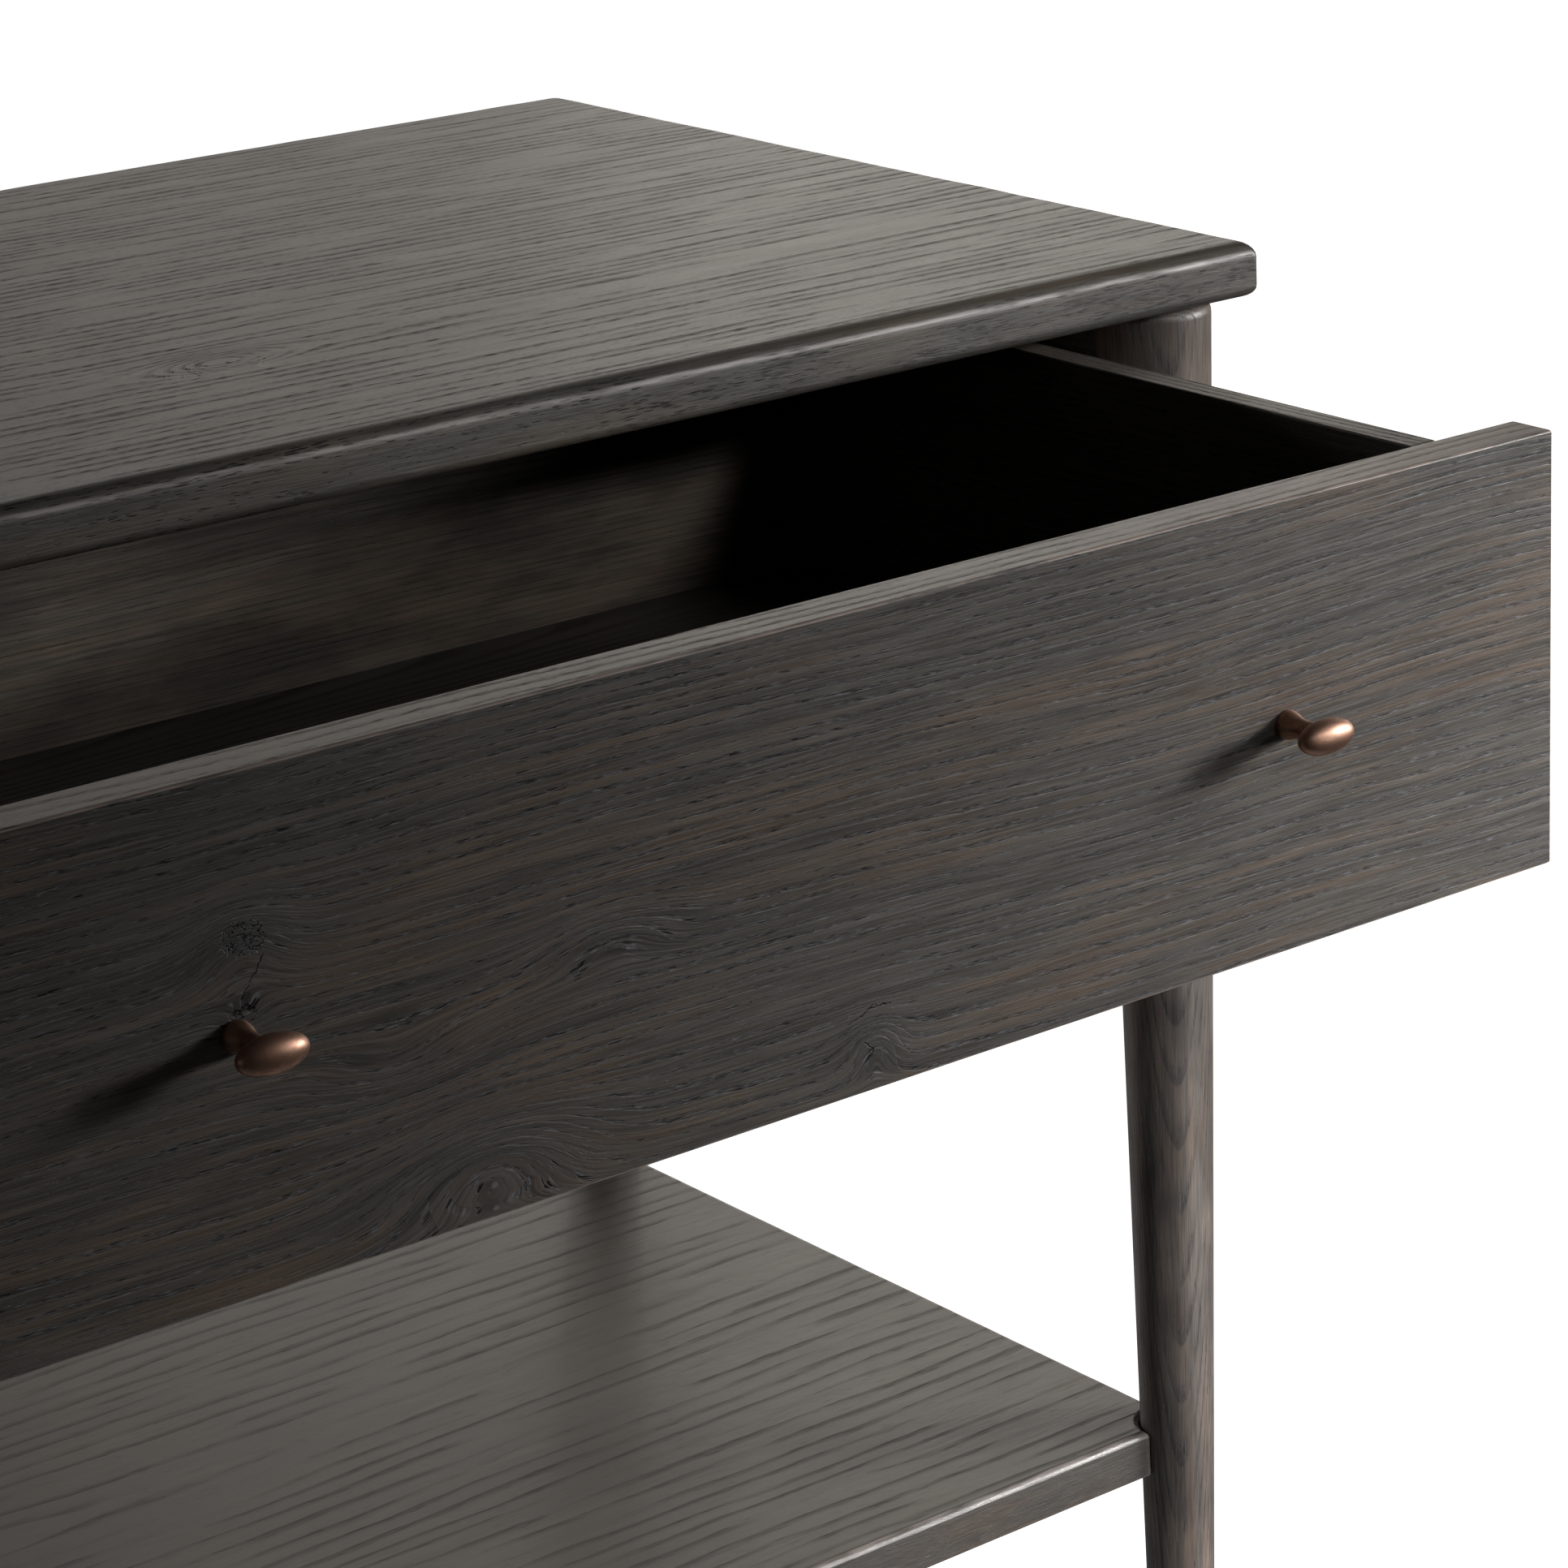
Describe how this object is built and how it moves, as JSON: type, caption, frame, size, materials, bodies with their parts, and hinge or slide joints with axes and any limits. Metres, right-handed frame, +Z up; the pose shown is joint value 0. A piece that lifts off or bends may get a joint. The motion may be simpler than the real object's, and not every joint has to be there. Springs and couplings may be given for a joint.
{
  "type": "console table",
  "caption": "Console table in dark charcoal-stained oak with a wide drawer on full-extension slides, round tapered legs, a low shelf and small oval bronze knobs.",
  "frame": {"origin": "on the floor, at the middle of the footprint of the table with its drawer 225 mm open, so 114.75 mm in front of the middle of the table top", "axes": "+X to the right along the front, +Y to the back, so the drawer front faces -Y, and +Z up"},
  "size_m": [0.758, 0.6894, 0.762],
  "materials": {
    "oak_top": "wire-brushed oak, charcoal stain, satin lacquer",
    "oak_front": "wire-brushed oak, charcoal stain, satin lacquer",
    "oak_leg": "turned oak, charcoal stain, satin lacquer",
    "oak_apron": "oak, charcoal stain, satin lacquer",
    "oak_box": "stained drawer stock, satin",
    "beech": "bare beech",
    "bronze": "antique bronze, satin",
    "zinc_steel": "zinc-plated rolled steel",
    "screw_steel": "zinc-plated",
    "ball_steel": "polished bearing steel",
    "black_steel": "black zinc",
    "nylon": "moulded nylon",
    "felt": "pressed felt pad"
  },
  "bodies": {
    "table": {"table_top": "oak_top", "leg_front_left": "oak_leg", "leg_front_right": "oak_leg", "leg_rear_left": "oak_leg", "leg_rear_right": "oak_leg", "shelf": "oak_top", "side_apron_left": "oak_apron", "side_apron_right": "oak_apron", "back_apron": "oak_apron", "front_rail": "oak_apron", "runner_batten_left": "beech", "runner_batten_right": "beech", "top_brackets": "black_steel", "bracket_screws": "screw_steel", "batten_screws": "screw_steel", "shelf_dowels": "beech", "foot_glides": "nylon", "slide_outer_left": "zinc_steel", "slide_outer_right": "zinc_steel", "slide_screws_case": "screw_steel"},
    "drawer": {"drawer_front": "oak_front", "drawer_side_left": "oak_box", "drawer_side_right": "oak_box", "drawer_back": "oak_box", "drawer_bottom": "oak_box", "drawer_dowels": "beech", "bottom_screws": "screw_steel", "drawer_bumpers": "felt", "knob_left": "bronze", "knob_right": "bronze", "knob_screws": "screw_steel", "slide_inner_left": "zinc_steel", "slide_inner_right": "zinc_steel", "slide_screws_drawer": "screw_steel"},
    "slide_middle_left_body": {"slide_middle_left": "zinc_steel"},
    "ball_cage_outer_left_body": {"ball_cage_outer_left": "black_steel", "balls_outer_left": "ball_steel"},
    "ball_cage_inner_left_body": {"ball_cage_inner_left": "black_steel", "balls_inner_left": "ball_steel"},
    "slide_middle_right_body": {"slide_middle_right": "zinc_steel"},
    "ball_cage_outer_right_body": {"ball_cage_outer_right": "black_steel", "balls_outer_right": "ball_steel"},
    "ball_cage_inner_right_body": {"ball_cage_inner_right": "black_steel", "balls_inner_right": "ball_steel"}
  },
  "joints": [
    {"name": "drawer_slide", "type": "slide", "parent": "table", "child": "drawer", "axis": [0, -1, 0], "range_m": [-0.225, 0.125]},
    {"name": "slide_middle_left_slide", "type": "slide", "parent": "table", "child": "slide_middle_left_body", "axis": [0, -1, 0], "range_m": [-0.1125, 0.0625]},
    {"name": "ball_cage_outer_left_slide", "type": "slide", "parent": "table", "child": "ball_cage_outer_left_body", "axis": [0, -1, 0], "range_m": [-0.05625, 0.03125]},
    {"name": "ball_cage_inner_left_slide", "type": "slide", "parent": "table", "child": "ball_cage_inner_left_body", "axis": [0, -1, 0], "range_m": [-0.16875, 0.09375]},
    {"name": "slide_middle_right_slide", "type": "slide", "parent": "table", "child": "slide_middle_right_body", "axis": [0, -1, 0], "range_m": [-0.1125, 0.0625]},
    {"name": "ball_cage_outer_right_slide", "type": "slide", "parent": "table", "child": "ball_cage_outer_right_body", "axis": [0, -1, 0], "range_m": [-0.05625, 0.03125]},
    {"name": "ball_cage_inner_right_slide", "type": "slide", "parent": "table", "child": "ball_cage_inner_right_body", "axis": [0, -1, 0], "range_m": [-0.16875, 0.09375]}
  ],
  "couplings": [
    {"joint": "slide_middle_left_slide", "follows": "drawer_slide", "ratio": 0.5},
    {"joint": "ball_cage_outer_left_slide", "follows": "drawer_slide", "ratio": 0.25},
    {"joint": "ball_cage_inner_left_slide", "follows": "drawer_slide", "ratio": 0.75},
    {"joint": "slide_middle_right_slide", "follows": "drawer_slide", "ratio": 0.5},
    {"joint": "ball_cage_outer_right_slide", "follows": "drawer_slide", "ratio": 0.25},
    {"joint": "ball_cage_inner_right_slide", "follows": "drawer_slide", "ratio": 0.75}
  ]
}
